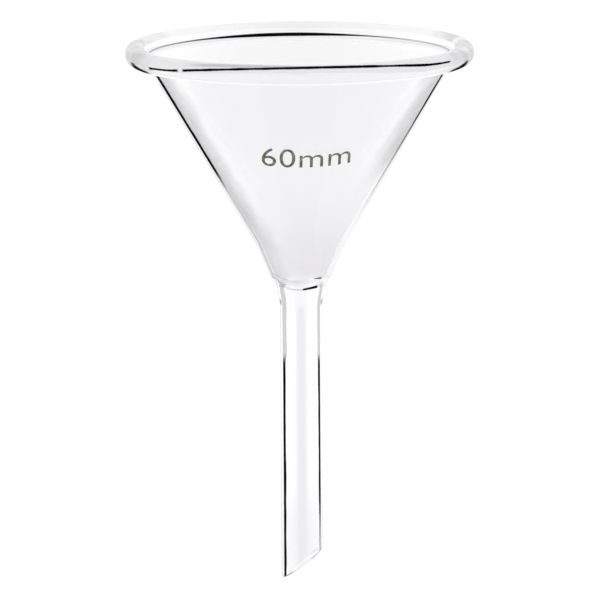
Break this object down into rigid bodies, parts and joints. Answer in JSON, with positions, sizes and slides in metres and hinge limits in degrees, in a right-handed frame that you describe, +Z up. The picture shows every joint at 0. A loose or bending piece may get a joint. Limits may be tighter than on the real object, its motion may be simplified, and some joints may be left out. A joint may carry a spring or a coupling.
{
  "type": "conical laboratory funnel",
  "caption": "Clear glass laboratory funnel: a wide cone with a beaded rim, drawn into a thin stem with a slanted tip.",
  "frame": {"origin": "on the surface that the funnel lies on, under the middle of its box", "axes": "+Z up; the mouth looks along +Y and a little up, the stem points along -Y and down to the surface, and the long lip of the slanted tip is on the -X side"},
  "size_m": [0.06, 0.0972, 0.0576],
  "materials": {
    "glass": "clear, fire-polished"
  },
  "bodies": {
    "root": {"funnel": "glass"}
  },
  "joints": []
}
